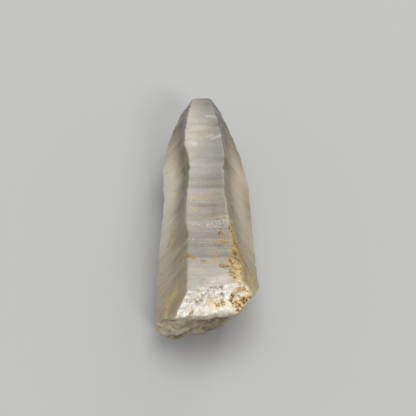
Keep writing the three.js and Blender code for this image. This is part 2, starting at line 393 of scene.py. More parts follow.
class NodeSheet:
    """Writes a material's nodes, one call for each node."""

    def __init__(self, name: str) -> None:
        """Starts a material with only its output.

        Args:
            name: The material's name.
        """
        self.material = bpy.data.materials.new(name)
        self.material.use_nodes = True
        self.tree = self.material.node_tree
        self.tree.nodes.clear()
        self.output = self.tree.nodes.new("ShaderNodeOutputMaterial")
        self.made: dict[object, bpy.types.NodeSocket] = {}

    def feed(self, socket: bpy.types.NodeSocket, value: object) -> None:
        """Links a socket to another, or sets its value.

        Args:
            socket: An input.
            value: An output socket, a number or a colour.
        """
        if isinstance(value, bpy.types.NodeSocket):
            self.tree.links.new(value, socket)
        else:
            socket.default_value = value

    def node(self, kind: str, settings: dict | None = None, **inputs: object) -> bpy.types.Node:
        """Adds a node.

        Args:
            kind: Its type, without the ShaderNode prefix.
            settings: Its own properties.
            inputs: What feeds its sockets, by socket name with spaces as underscores.

        Returns:
            The node.
        """
        made = self.tree.nodes.new("ShaderNode" + kind)
        for key, value in (settings or {}).items():
            setattr(made, key, value)
        for key, value in inputs.items():
            self.feed(made.inputs[key.replace("_", " ")], value)
        return made

    def sums(self, operation: str, *values: object, clamp: bool = False) -> bpy.types.NodeSocket:
        """A Math node.

        Args:
            operation: Its operation.
            values: What it works on.
            clamp: Whether the result is kept from 0 to 1.

        Returns:
            The result's socket.
        """
        made = self.node("Math", {"operation": operation, "use_clamp": clamp})
        for socket, value in zip(made.inputs, values):
            self.feed(socket, value)
        return made.outputs[0]

    def times(self, first: object, second: object) -> bpy.types.NodeSocket:
        """One number times another."""
        return self.sums("MULTIPLY", first, second)

    def plus(self, first: object, second: object) -> bpy.types.NodeSocket:
        """One number plus another."""
        return self.sums("ADD", first, second)

    def raised(self, base: object, value: object, share: object, clamp: bool = False) -> bpy.types.NodeSocket:
        """A base number plus a share of another.

        Args:
            base: What is added to.
            value: What is added.
            share: How much of it.
            clamp: Whether the result is kept from 0 to 1.

        Returns:
            The result's socket.
        """
        return self.sums("MULTIPLY_ADD", value, share, base, clamp=clamp)

    def ranged(self, value: object, low: float, high: float, start: float = 0.0, end: float = 1.0) -> object:
        """Maps low..high smoothly onto start..end.

        Args:
            value: What is mapped.
            low: Input that gives start.
            high: Input that gives end.
            start: Output at low.
            end: Output at high.

        Returns:
            The result's socket.
        """
        made = self.node("MapRange", {"interpolation_type": "SMOOTHSTEP"})
        names = ("Value", "From Min", "From Max", "To Min", "To Max")
        for name, given in zip(names, (value, low, high, start, end)):
            self.feed(made.inputs[name], given)
        return made.outputs["Result"]

    def blend(self, share: object, first: object, second: object, kind: str = "MIX") -> bpy.types.NodeSocket:
        """Mixes two colours.

        Args:
            share: How much of the second, from 0 to 1.
            first: A colour or socket.
            second: A colour or socket.
            kind: The blend type.

        Returns:
            The mixed colour's socket.
        """
        made = self.node("Mix", {"data_type": "RGBA", "blend_type": kind, "clamp_factor": True})
        for socket, value in zip((made.inputs[0], made.inputs[6], made.inputs[7]), (share, first, second)):
            self.feed(socket, value)
        return made.outputs[2]

    def attribute(self, name: str) -> bpy.types.NodeSocket:
        """The number stored on the surface under that name, read once."""
        if name not in self.made:
            self.made[name] = self.node("Attribute", {"attribute_name": name}).outputs["Fac"]
        return self.made[name]

    def stretched(self, scale: Place) -> bpy.types.NodeSocket:
        """Object coordinates times a scale on each axis.

        Args:
            scale: Features per millimetre along X, Y and Z.

        Returns:
            The coordinates' socket.
        """
        place = self.node("TexCoord").outputs["Object"]
        size = tuple(factor / MM for factor in scale)
        return self.node("Mapping", Vector=place, Scale=size).outputs["Vector"]

    def grain(self, pattern: Pattern) -> bpy.types.NodeSocket:
        """Noise from about 0.25 to 0.75, made once for each pattern.

        Args:
            pattern: Which pattern.

        Returns:
            The noise's socket.
        """
        if pattern not in self.made:
            grain = pattern.value
            made = self.node(
                "TexNoise",
                Vector=self.stretched(grain.scale),
                Scale=1.0,
                Detail=grain.detail,
                Roughness=grain.roughness,
                Distortion=grain.twist,
            )
            self.made[pattern] = made.outputs["Fac"]
        return self.made[pattern]


# ---- Finishes -------------------------------------------------------------------------------------


@dataclass(frozen=True)
class QuartzFinish:
    """Milky quartz: glassy faces with growth lines, a crumbled break and rust in its cracks.

    A Span says which part of a pattern counts, and what that part is mapped onto if that isn't 0 to 1.
    """

    name: str = "milky quartz"
    glitter: float = 0.0
    glint_scale: Place = (1.5, 1.5, 1.5)

    cool: Colour = (0.520, 0.485, 0.430, 1)
    blue: Colour = (0.440, 0.445, 0.440, 1)
    warm: Colour = (0.660, 0.580, 0.420, 1)
    thread: Colour = (0.720, 0.520, 0.200, 1)
    # clear: colour of the painted dark strips beside the top edges and of painted dark patches. This is
    # painted shade standing in for the dark seen through the stone; the random smoke patches use it too.
    clear: Colour = (0.085, 0.060, 0.012, 1)
    # veil: milky white for random wisps and blotches, also used for painted highlights, the painted rim glow
    # and painted edge highlights.
    veil_and_highlight: Colour = (0.800, 0.760, 0.670, 1)
    crushed: Colour = (0.960, 0.935, 0.880, 1)
    crumbled: Colour = (0.700, 0.650, 0.560, 1)
    # crevice: dark grit, cracks and pores, and painted shade in the hollows through the deep attribute.
    grit_and_hollow_shade: Colour = (0.330, 0.275, 0.195, 1)
    # fissure: darkens the creases. These are real cracks on the bevel, and painted shade in the break's
    # hollows and under the overhanging lip.
    crack_and_painted_shade: Colour = (0.220, 0.180, 0.130, 1)
    broken: Colour = (0.460, 0.385, 0.270, 1)
    crust: Colour = (0.800, 0.580, 0.230, 1)
    rust_bands: tuple[tuple[float, Colour], ...] = (
        (0.1, (0.78, 0.60, 0.27, 1)),
        (0.36, (0.66, 0.41, 0.095, 1)),
        (0.60, (0.44, 0.205, 0.036, 1)),
        (0.84, (0.19, 0.072, 0.014, 1)),
        (1.0, (0.050, 0.022, 0.008, 1)),
    )

    refraction: float = 1.544
    shine: float = 0.11
    milkiness: float = 1.0
    scatter_mm: float = 8.0
    scatter_tint: Place = (1.0, 0.93, 0.8)
    clearness: float = 0.35
    polish: Span = (0.3, 0.7, 0.12, 0.22)
    striae_bump: tuple[float, float] = (0.25, 0.02)
    pit_bump: tuple[float, float] = (0.6, 0.18)

    warm_clouds: Span = (0.4, 0.62)
    blue_drift: Span = (0.42, 0.66, 0.0, 0.7)
    threads: Span = (0.52, 0.64)
    wisps: Span = (0.54, 0.76, 0.0, 0.2)
    smoke: Span = (0.5, 0.72, 0.0, 0.12)
    streaks: Span = (0.34, 0.66, -0.04, 0.035)
    fine_streaks: Span = (0.34, 0.66, -0.035, 0.035)
    mottling: Span = (0.34, 0.66, 0.91, 1.08)
    banding: Span = (0.36, 0.64, -0.07, 0.06)
    banding_on_warm: Span = (0.0, 0.8, 1.0, 0.3)
    deepening: tuple[tuple[str, float], ...] = (("Green", 0.12), ("Blue", 0.45))

    break_grit: Span = (0.34, 0.46, 0.55, 0.0)
    break_blotches: Span = (0.5, 0.66, 0.0, 0.4)
    crack_width: Span = (0.0, 0.045, 0.7, 0.0)
    crumb_curls: Span = (0.45, 0.56)
    crumb_grit: Span = (0.43, 0.34, 0.0, 0.6)
    sparks: Span = (0.53, 0.62)
    pores: Span = (0.44, 0.34, 0.0, 0.8)
    crust_curls: Span = (0.42, 0.58, 1.0, 0.45)

    stain_spread: Span = (0.3, 0.7, -0.42, 0.42)
    stain_core: Span = (0.0, 0.4)
    dot_grains: Span = (0.53, 0.6)
    dot_reach: Span = (0.12, 0.5, 0.0, 0.95)
    stain_cover: Span = (0.02, 0.5, 0.0, 0.95)
    stain_grains: Span = (0.38, 0.52, 0.35, 1.0)

    def make(self) -> bpy.types.Material:
        """Builds the material."""
        sheet = NodeSheet(self.name)
        shade = self.shade(sheet)
        colour = sheet.blend(1.0, self.body_colour(sheet), shade, "MULTIPLY")
        # Painted highlights along the sharp edges, from the edge attribute.
        colour = sheet.blend(sheet.times(sheet.attribute("edge"), 0.3), colour, self.veil_and_highlight)
        colour = self.add_break(sheet, colour, shade)
        colour = self.add_deposits(sheet, colour)
        amount, cover = self.stain(sheet)
        colour = sheet.blend(cover, colour, self.rust(sheet, amount))
        roughness = sheet.ranged(sheet.grain(Pattern.LINES), *self.polish)
        roughness = sheet.raised(roughness, sheet.attribute("broken"), 0.12)
        shader = sheet.node(
            "BsdfPrincipled",
            Base_Color=colour,
            Roughness=sheet.raised(roughness, cover, 0.3, clamp=True),
            IOR=self.refraction,
            Specular_IOR_Level=self.shine,
            Transmission_Weight=self.clearness,
            Subsurface_Weight=sheet.times(sheet.raised(1.0, cover, -0.8), self.milkiness),
            Subsurface_Radius=self.scatter_tint,
            Subsurface_Scale=self.scatter_mm * MM,
            Normal=self.facing(sheet),
        )
        sheet.feed(sheet.output.inputs["Surface"], shader.outputs["BSDF"])
        return sheet.material

    def shade(self, sheet: NodeSheet) -> bpy.types.NodeSocket:
        """How bright the stone is: the tone attribute's painted light and shade, with lines, mottling and
        bands, and warmer where it is darker.

        Args:
            sheet: The material's nodes.

        Returns:
            A colour's socket, to multiply the stone's own colour by.
        """
        warm = sheet.attribute("warm")
        streaks = sheet.ranged(sheet.grain(Pattern.LINES), *self.streaks)
        streaks = sheet.plus(streaks, sheet.ranged(sheet.grain(Pattern.FINE_LINES), *self.fine_streaks))
        shade = sheet.raised(1.0, streaks, sheet.attribute("lines"))
        shade = sheet.times(shade, sheet.ranged(sheet.grain(Pattern.MOTTLE), *self.mottling))
        # tone carries painted light and shade.
        shade = sheet.times(shade, sheet.attribute("tone"))
        banding = sheet.ranged(sheet.grain(Pattern.BANDS), *self.banding)
        banding = sheet.times(banding, sheet.ranged(warm, *self.banding_on_warm))
        shade = sheet.times(shade, sheet.plus(banding, 1.0))
        dark = sheet.sums("MINIMUM", shade, 1.0)
        channels = {"Red": shade}
        for channel, depth in self.deepening:
            channels[channel] = sheet.times(shade, sheet.sums("POWER", dark, sheet.times(warm, depth)))
        return sheet.node("CombineColor", **channels).outputs["Color"]

    def body_colour(self, sheet: NodeSheet) -> bpy.types.NodeSocket:
        """The stone's colour: cool on top, warmer on the flanks, with veils, painted highlights and rim glow,
        and painted dark strips and patches.

        Args:
            sheet: The material's nodes.

        Returns:
            The colour's socket.
        """
        clouds = sheet.ranged(sheet.grain(Pattern.CLOUDS), *self.warm_clouds)
        warmth = sheet.raised(sheet.attribute("warm"), clouds, 0.3, clamp=True)
        drift = sheet.ranged(sheet.grain(Pattern.DRIFT), *self.blue_drift)
        drift = sheet.raised(drift, sheet.attribute("blue"), 0.5, clamp=True)
        colour = sheet.blend(warmth, sheet.blend(drift, self.cool, self.blue), self.warm)
        threads = sheet.ranged(sheet.grain(Pattern.THREADS), *self.threads)
        colour = sheet.blend(sheet.times(threads, sheet.attribute("threads")), colour, self.thread)
        wisps = sheet.ranged(sheet.grain(Pattern.WISPS), *self.wisps)
        # pale is painted light: a rim glow beside the flanks' outer edges, and painted highlights.
        colour = sheet.blend(sheet.plus(sheet.attribute("pale"), wisps), colour, self.veil_and_highlight)
        # clear is painted shade: dark strips beside the top edges, and dark patches. The smoke noise adds
        # random darker patches.
        smoke = sheet.ranged(sheet.grain(Pattern.SMOKE), *self.smoke)
        return sheet.blend(sheet.plus(sheet.attribute("clear"), smoke), colour, self.clear)

    def add_break(self, sheet: NodeSheet, colour: object, shade: object) -> bpy.types.NodeSocket:
        """Adds the gritty break and the crumbled bevel.

        Args:
            sheet: The material's nodes.
            colour: The colour so far.
            shade: How bright the stone is.

        Returns:
            The new colour's socket.
        """
        deep, speckle = sheet.attribute("deep"), sheet.grain(Pattern.SPECKLE)
        # deep darkens the break towards the crevice colour in its hollows: painted shade.
        grit = sheet.raised(sheet.ranged(speckle, *self.break_grit), deep, 0.6, clamp=True)
        gritty = sheet.blend(grit, self.broken, self.grit_and_hollow_shade)
        blotches = sheet.ranged(sheet.grain(Pattern.BLOTCHES), *self.break_blotches)
        gritty = sheet.blend(blotches, gritty, self.veil_and_highlight)
        crack = sheet.sums("ABSOLUTE", sheet.sums("SUBTRACT", sheet.grain(Pattern.CRACKS), 0.5))
        gritty = sheet.blend(sheet.ranged(crack, *self.crack_width), gritty, self.grit_and_hollow_shade)
        gritty = sheet.blend(1.0, gritty, shade, "MULTIPLY")
        colour = sheet.blend(sheet.times(sheet.attribute("broken"), 0.92), colour, gritty)
        curls = sheet.ranged(sheet.grain(Pattern.CURLS), *self.crumb_curls)
        crumbs = sheet.blend(curls, self.crumbled, self.crushed)
        # Here deep also paints shade into the hollows of the crumbs.
        grit = sheet.raised(sheet.ranged(speckle, *self.crumb_grit), deep, 0.5, clamp=True)
        crumbs = sheet.blend(grit, crumbs, self.grit_and_hollow_shade)
        # pale whitens the crumbs: painted highlights.
        crumbs = sheet.blend(sheet.attribute("pale"), crumbs, self.crushed)
        return sheet.blend(sheet.attribute("crushed"), colour, crumbs)

    def add_deposits(self, sheet: NodeSheet, colour: object) -> bpy.types.NodeSocket:
        """Adds frost, yellow crust and darkened creases: real cracks, with painted shade in the break's
        hollows and under the overhang.

        Args:
            sheet: The material's nodes.
            colour: The colour so far.

        Returns:
            The new colour's socket.
        """
        frost = sheet.attribute("frost")
        sparks = sheet.ranged(sheet.grain(Pattern.SPARKS), *self.sparks)
        colour = sheet.blend(sheet.times(frost, sparks), colour, self.crushed)
        pores = sheet.ranged(sheet.grain(Pattern.SPECKLE), *self.pores)
        colour = sheet.blend(sheet.times(frost, pores), colour, self.grit_and_hollow_shade)
        curls = sheet.ranged(sheet.grain(Pattern.CURLS), *self.crust_curls)
        # pale is painted highlight, and keeps the crust from showing there.
        bare = sheet.raised(1.0, sheet.attribute("pale"), -0.85, clamp=True)
        gold = sheet.times(sheet.times(sheet.attribute("crust"), curls), bare)
        colour = sheet.blend(gold, colour, self.crust)
        # Creases darkened: real cracks on the bevel, and painted shade with the painted shadow under the
        # overhang in the lower break.
        return sheet.blend(sheet.times(sheet.attribute("crease"), 0.9), colour, self.crack_and_painted_shade, "MULTIPLY")

    def stain(self, sheet: NodeSheet) -> tuple[bpy.types.NodeSocket, bpy.types.NodeSocket]:
        """Where iron has stained the stone: a soft spread with dark dots in it.

        Args:
            sheet: The material's nodes.

        Returns:
            How much stain there is, and how far it hides the stone.
        """
        stain, grains = sheet.attribute("rust"), sheet.grain(Pattern.GRAINS)
        spread = sheet.ranged(sheet.grain(Pattern.SPREAD), *self.stain_spread)
        soaked = sheet.raised(stain, spread, sheet.ranged(stain, *self.stain_core), clamp=True)
        dots = sheet.times(sheet.ranged(grains, *self.dot_grains), sheet.ranged(stain, *self.dot_reach))
        amount = sheet.raised(dots, soaked, 0.78, clamp=True)
        cover = sheet.times(sheet.ranged(soaked, *self.stain_cover), sheet.ranged(grains, *self.stain_grains))
        return amount, sheet.sums("MAXIMUM", cover, dots)

    def rust(self, sheet: NodeSheet, amount: bpy.types.NodeSocket) -> bpy.types.NodeSocket:
        """The colour of iron stain, from pale yellow to dark brown.

        Args:
            sheet: The material's nodes.
            amount: How much stain there is.

        Returns:
            The colour's socket.
        """
        ramp = sheet.node("ValToRGB", Fac=amount)
        bands = ramp.color_ramp.elements
        first, *middle, last = self.rust_bands
        bands[0].position, bands[0].color = first
        bands[1].position, bands[1].color = last
        for place, colour in middle:
            bands.new(place).color = colour
        return ramp.outputs["Color"]

    def facing(self, sheet: NodeSheet) -> bpy.types.NodeSocket:
        """The fine relief: growth lines, pits and, if there are any, glints.

        Args:
            sheet: The material's nodes.

        Returns:
            The normal's socket.
        """
        rough = sheet.attribute("rough")
        relief = sheet.raised(sheet.grain(Pattern.LINES), sheet.grain(Pattern.FINE_LINES), 0.45)
        smooth = sheet.sums("SUBTRACT", sheet.attribute("lines"), rough, clamp=True)
        pitting = sheet.times(sheet.grain(Pattern.SPECKLE), sheet.plus(rough, 0.06))
        strength, height = self.striae_bump
        bump = sheet.node("Bump", Strength=strength, Distance=height * MM, Height=sheet.times(relief, smooth))
        strength, height = self.pit_bump
        bump = sheet.node(
            "Bump", Strength=strength, Distance=height * MM, Height=pitting, Normal=bump.outputs["Normal"]
        )
        return self.glints(sheet, bump.outputs["Normal"]) if self.glitter else bump.outputs["Normal"]

    def glints(self, sheet: NodeSheet, facing: bpy.types.NodeSocket) -> bpy.types.NodeSocket:
        """Tilts small flat grains each their own way, so that some of them catch a light.

        Args:
            sheet: The material's nodes.
            facing: The normal so far.

        Returns:
            The tilted normal's socket.
        """
        place = sheet.stretched(self.glint_scale)
        grains = sheet.node("TexVoronoi", {"feature": "F1"}, Vector=place, Scale=1.0)
        centred = sheet.node("VectorMath", {"operation": "SUBTRACT"})
        sheet.feed(centred.inputs[0], grains.outputs["Color"])
        sheet.feed(centred.inputs[1], (0.5, 0.5, 0.5))
        tilted = sheet.node("VectorMath", {"operation": "MULTIPLY_ADD"})
        sheet.feed(tilted.inputs[0], centred.outputs[0])
        sheet.feed(tilted.inputs[1], (self.glitter,) * 3)
        sheet.feed(tilted.inputs[2], facing)
        unit = sheet.node("VectorMath", {"operation": "NORMALIZE"})
        sheet.feed(unit.inputs[0], tilted.outputs[0])
        return unit.outputs[0]


@dataclass(frozen=True)
class FloorFinish:
    """A plain pale matt floor.

    Args:
        colour: Its colour.
        roughness: How matt it is, from 0 to 1.
    """

    colour: Colour = (0.43, 0.43, 0.42, 1)
    roughness: float = 0.85

    def make(self) -> bpy.types.Material:
        """Builds the material."""
        sheet = NodeSheet("pale floor")
        shader = sheet.node("BsdfPrincipled", Base_Color=self.colour, Roughness=self.roughness)
        sheet.feed(sheet.output.inputs["Surface"], shader.outputs["BSDF"])
        return sheet.material


# ---- The crystal ----------------------------------------------------------------------------------


@dataclass(frozen=True)
class Growth:
    """How the stone's painted light and shade change along the crystal, from the base to the tip.

    Each course is a row of places along the long axis, in millimetres, with the value there.

    Args:
        top: Tone of the top face, where 1 is plain. Its dips are painted shade below the growth ledges, and
            its fall at the tip is painted shade.
        top_left_light: How much brighter the top face is on the left than on the right: painted light.
        inner: How dark the painted strip beside the top edges is on the flanks: painted shade.
        outer: How strong the painted rim glow is beside the flanks' outer edges: painted light.
        left: Tone of the left flank: painted light and shade along the crystal.
        right: Tone of the right flank: painted light and shade along the crystal.
        right_rim_shade: Tone lost beside the right flank's outer edge: painted shade.
        band: How far across the flank the painted dark strip starts.
        lower: Tone of the three lower faces: painted shade that darkens them towards the tip.
    """

    top: Course = (
        (-38, 1.14), (-29, 1.15), (-27, 0.82), (-8, 0.90), (-5, 1.05), (-4, 0.80), (4, 1.02), (23, 1.05),
        (38, 0.57),
    )
    top_left_light: Course = ((-28, 0.05), (-6, 0.55), (20, 0.65), (30, 0.4))
    inner: Course = ((-36, 0.10), (-8, 0.50), (20, 0.72), (38, 0.6))
    outer: Course = ((-38, 0.05), (-10, 0.5), (0, 0.5), (20, 0.1))
    left: Course = ((-38, 0.68), (-5, 1.10), (9, 1.55), (20, 0.80), (27, 0.30))
    right: Course = ((-36, 0.62), (-26, 0.46), (-8, 0.76), (9, 0.90), (18, 0.42), (27, 0.18))
    right_rim_shade: Course = ((-11, 0), (0, 0.34), (8, 0.12))
    band: Course = ((-10, 0.38), (10, 0.42), (27, 0.28))
    lower: Course = ((-38, 0.68), (4, 0.92), (20, 0.36), (28, 0.24))

    def along(self, course: str, y: np.ndarray) -> np.ndarray:
        """Reads one of the courses at places along the crystal.

        Args:
            course: Its name.
            y: Places along the long axis, in millimetres.

        Returns:
            One number for each place.
        """
        return np.interp(y, *zip(*getattr(self, course)))


@dataclass(frozen=True)
class Zones:
    """Where something fades in: none at the first place and all at the second, in millimetres.

    Those for the break's sides and the right side lie across the crystal, and the others along it.
    """

    # tip: where the painted shade at the tip fades in.
    tip: Span = (26, 33)
    tip_faces: Span = (30, 34)
    dark_tip: Span = (2, 20)
    waist_start: Span = (-16, -4)
    waist_end: Span = (8, 2)
    creamy_start: Span = (6, 16)
    creamy_end: Span = (34, 26)
    lined: Span = (8, -2)
    lined_base: Span = (6, -14)
    plain_tip: Span = (8, 20)
    blue_top: Span = (-6, 8)
    threads: Span = (-8, -26)
    flow_start: Span = (-5, -8)
    flow_end: Span = (-18, -15)
    unhighlighted_edge: Span = (-4, 8)
    right_side: Span = (-1.0, 1.0)
    # break_right and break_left: where the painted shade under the overhang fades in across the break.
    break_right: Span = (-4.5, -0.5)
    break_left: Span = (-4.5, -6.5)
    patch_scale: Place = (0.2, 0.3, 0.2)
    wobble_scale: Place = (0.3, 0.25, 0.3)


@dataclass(frozen=True)
class Dent:
    """A ball-shaped chip out of the crystal, crumbly inside.

    Args:
        centre: The ball's centre.
        radius: The ball's radius.
        skin: How near the ball's surface counts as the chip's wall.
    """

    centre: Place
    radius: float
    skin: float = 0.4

    def over(self, places: np.ndarray) -> np.ndarray:
        """How surely each place lies on the chip's wall, from 0 to 1."""
        gap = np.abs(np.linalg.norm(places - np.array(self.centre), axis=1) - self.radius)
        return smooth_step(gap, self.skin * 2, self.skin)


@dataclass
class Crystal:
    """The one piece: a broken-off quartz point with growth lines, worn edges and rust in its cracks.

    Args:
        cell: Width of the fine mesh's cells, in millimetres.
        base_end: Place along the crystal below which the break can lie.
        break_slope: How far the break faces the base end, from 0 to 1, at the least.
        smoothing: How far the grown faces are evened out, from 0 to 1.
        edge_passes: How often each sharp edge is evened out along itself.
        tip_start: Place along the crystal past which its edges stay crisp.
        striae_pitch: Mean distance between growth lines.
        striae_depth: Height of the deepest growth line.
        marks: Where something has seeped in, where the break is creased, notched or bulged, and where
            highlights and shade are painted.
        chip: The chip out of the shoulder.
        shell_centres: Where the shell-shaped ripples of the break start.
        shell_pitch: Distance from one ripple to the next.
        shell_depth: Height of the ripples.
        swell_depth: Depth of the slow unevenness of grown faces.
        worn_depth: How far the sharp edges are worn down.
        crease_depth: Depth of the creases in the break.
        notch_depth: Depth of the notch in the break's lower edge.
        growth: The painted light and shade along the crystal.
        zones: Where its markings fade in and out.
        finish: The stone's finish.
        broken_finish: Its finish where it is broken.
    """

    cell: float = 0.31
    base_end: float = -24.0
    break_slope: float = 0.28
    smoothing: float = 0.85
    edge_passes: int = 10
    tip_start: float = 30.0
    striae_pitch: float = 2.0
    striae_depth: float = 0.03
    marks: dict[Mark, tuple[Seep, ...]] = field(default_factory=dict)
    chip: Dent = Dent((8.87, -37.1, 18.4), 3.1)
    shell_centres: tuple[Place, ...] = ((-9.5, -38.5, 13.5), (3.5, -38.5, 15.0))
    shell_pitch: float = 1.5
    shell_depth: float = 0.06
    swell_depth: float = 0.06
    worn_depth: float = 0.05
    crease_depth: float = 0.35
    notch_depth: float = 1.1
    growth: Growth = Growth()
    zones: Zones = Zones()
    finish: QuartzFinish = field(default_factory=QuartzFinish)
    broken_finish: QuartzFinish = QuartzFinish(
        "crushed quartz", 0.6, shine=0.5, milkiness=0.5, scatter_mm=0.5, clearness=0.12
    )

    def build(self) -> bpy.types.Object:
        """Makes the finished piece.

        Returns:
            The piece, riding on the frame in place of its plain solid.
        """
        piece = self.fine_copy()
        self.skin = Skin(piece.data)
        self.find_regions()
        self.carve()
        self.paint()
        self.skin.write()
        piece.data.materials.clear()
        piece.data.materials.append(self.finish.make())
        piece.data.materials.append(self.broken_finish.make())
        self.part_finishes(piece.data)
        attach(piece, "root")
        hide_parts(NODE)
        log.info("crystal: %d vertices", len(piece.data.vertices))
        return piece

    def fine_copy(self) -> bpy.types.Object:
        """A copy of the solid, merged and divided into small even cells.

        Returns:
            The new object, at the origin.
        """
        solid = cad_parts[NODE]
        piece = bpy.data.objects.new("rough_quartz", solid.data.copy())
        bpy.context.scene.collection.objects.link(piece)
        bpy.ops.object.select_all(action="DESELECT")
        piece.select_set(True)
        bpy.context.view_layer.objects.active = piece
        bpy.ops.object.mode_set(mode="EDIT")
        bpy.ops.mesh.select_all(action="SELECT")
        bpy.ops.mesh.remove_doubles(threshold=1e-6)
        bpy.ops.object.mode_set(mode="OBJECT")
        cells = piece.modifiers.new("cells", "REMESH")
        cells.mode = "VOXEL"
        cells.voxel_size = self.cell * MM
        bpy.ops.object.modifier_apply(modifier=cells.name)
        self.refine_break(piece.data)
        bpy.ops.object.shade_smooth()
        return piece

    def refine_break(self, mesh: bpy.types.Mesh) -> None:
        """Divides the cells of the broken end once more.

        Args:
            mesh: The divided copy's mesh. Its object is the active one.
        """
        centres = np.empty(len(mesh.polygons) * 3)
        mesh.polygons.foreach_get("center", centres)
        facing = np.empty(len(mesh.polygons) * 3)
        mesh.polygons.foreach_get("normal", facing)
        at_base = centres.reshape(-1, 3)[:, 1] < self.base_end * MM
        broken = at_base & (facing.reshape(-1, 3)[:, 1] < -self.break_slope)
        bpy.ops.object.mode_set(mode="EDIT")
        bpy.ops.mesh.select_mode(type="FACE")
        bpy.ops.mesh.select_all(action="DESELECT")
        bpy.ops.object.mode_set(mode="OBJECT")
        mesh.polygons.foreach_set("select", broken)
        bpy.ops.object.mode_set(mode="EDIT")
        bpy.ops.mesh.subdivide(number_cuts=1)
        bpy.ops.object.mode_set(mode="OBJECT")

    def find_regions(self) -> None:
        """Works out what kind of surface each vertex lies on."""
        skin = self.skin
        calm = skin.blurred(skin.normals, 8)
        calm /= np.linalg.norm(calm, axis=1, keepdims=True)
        y = skin.places[:, 1]
        low_end = smooth_step(y, self.base_end, self.base_end - 2)
        self.break_all = smooth_step(-calm[:, 1], self.break_slope, 0.5) * low_end
        self.chipped = self.chip.over(skin.places)
        sure = skin.blurred(np.maximum(self.break_all, self.chipped), 24)
        sure -= 0.3 * smooth_step(skin.places[:, 0], 1.0, -2.5) * smooth_step(skin.places[:, 2], 18.0, 20.0)
        ragged = 0.42 * layered_cloud(skin.places / 1.3, seed=33, layers=3)
        self.break_all = smooth_step(sure + ragged * smooth_step(sure, 0.0, 0.3), 0.4, 0.62)
        upward = smooth_step(calm[:, 2], 0.05, 0.3) * smooth_step(skin.places[:, 0], -8.6, -6.4)
        self.bevel = self.break_all * np.maximum(upward, self.chipped)
        self.under = self.break_all - self.bevel
        grown = 1 - self.break_all
        self.faces = {face: smooth_step(calm @ face.outward, 0.86, 0.96) * grown for face in Face}
        self.owner = np.argmax([calm @ face.outward for face in Face], axis=0)

    def share_across(self, face: Face) -> np.ndarray:
        """How far each vertex of a face lies between its two long edges.

        Args:
            face: One prism face.

        Returns:
            From 0 at the edge nearer the right to 1 at the other, and 0 off the face.
        """
        mine = self.owner == list(Face).index(face)
        y = self.skin.places[mine, 1]
        reach = self.skin.places[mine] @ face.across
        stops = np.arange(-40.0, 41.0, 2.0)
        bands = [reach[np.abs(y - stop) < 1.5] for stop in stops]
        low = np.interp(y, stops, [band.min() if len(band) else 0.0 for band in bands])
        high = np.interp(y, stops, [band.max() if len(band) else 1.0 for band in bands])
        share = np.zeros(self.skin.count)
        share[mine] = np.clip((reach - low) / np.maximum(high - low, 0.5), 0, 1)
        return share

    def carve(self) -> None:
        """Adds the relief that is finer than the solid's."""
        skin = self.skin
        self.layers = {kind: np.zeros(skin.count) for kind in Mark}
        for kind, seeps in self.marks.items():
            for seep in seeps:
                self.layers[kind] = np.maximum(self.layers[kind], seep.over(skin.places))
        self.polish()
        depth = self.striae() + self.swell() + self.broken_relief()
        skin.lower(np.maximum(depth, 0) - skin.blurred(self.layers[Mark.BULGE] * self.break_all, 6))
        self.edges = smooth_step(skin.ridges(2), 0.006, 0.03) * (1 - self.break_all)
        worn = self.edges * smooth_step(cloud(skin.places / 1.7, seed=31), -0.1, 0.8)
        skin.lower(self.worn_depth * worn)
        skin.places[:, 2] = np.maximum(skin.places[:, 2], 0)

    def polish(self) -> None:
        """Evens out the grown faces between their edges."""
        skin = self.skin
        body = smooth_step(skin.places[:, 1], self.tip_start + 3, self.tip_start)
        crest = smooth_step(skin.ridges(1), 0.02, 0.05) * (1 - self.break_all) + 0.01
        for _ in range(self.edge_passes):
            along = skin.around(skin.places * crest[:, None]) / skin.around(crest)[:, None]
            skin.places += (along - skin.places) * (0.6 * body * smooth_step(crest, 0.1, 0.6))[:, None]
        sharp = skin.blurred(smooth_step(skin.ridges(3), 0.012, 0.03), 4)
        calm = (1 - self.break_all) * (1 - sharp.clip(0, 1)) * self.smoothing * body
        skin.places += (skin.blurred(skin.places, 10) - skin.places) * calm[:, None]
        distance = np.linalg.norm(skin.places - np.array(self.chip.centre), axis=1)
        near = smooth_step(distance, self.chip.radius + 1.6, self.chip.radius + 0.4)
        near = np.maximum(near, self.layers[Mark.GLAZE]) * self.break_all
        skin.places += (skin.blurred(skin.places, 60) - skin.places) * near[:, None]

    def striae(self) -> np.ndarray:
        """Growth lines: shallow steps across each prism face, square to the long axis.

        Returns:
            How deep each vertex is set, in millimetres.
        """
        places = self.skin.places
        depth = np.zeros(len(places))
        for index, (face, share) in enumerate(self.faces.items()):
            across = places @ face.across
            drift = np.stack([across * 0.3, places[:, 1] * 0.2, np.full(len(places), index * 5.3)], axis=1)
            y = places[:, 1] + 0.15 * cloud(drift, seed=index)
            rng = np.random.default_rng(60 + index)
            count = int(92 / self.striae_pitch)
            lines = np.sort(rng.uniform(-46, 46, count))
            heights = rng.uniform(0.2, 1.0, count) ** 2 * self.striae_depth
            line = np.clip(np.searchsorted(lines, y) - 1, 0, count - 2)
            climb = np.clip((y - lines[line]) / np.maximum(lines[line + 1] - lines[line], 1e-3), 0, 1)
            local = np.stack([across * 0.22, line * 3.7, np.full(len(y), index * 9.1)], axis=1)
            shown = smooth_step(cloud(local, seed=7), -0.35, 0.25)
            depth += share * heights[line] * shown * climb * (1.0 if face is Face.TOP else 0.4)
        return depth

    def swell(self) -> np.ndarray:
        """The slow unevenness of grown faces.

        Returns:
            How deep each vertex is set, in millimetres.
        """
        wide = layered_cloud(self.skin.places * np.array([0.16, 0.3, 0.16]), seed=3, layers=2)
        return self.swell_depth * (1 + wide) * (1 - self.break_all)

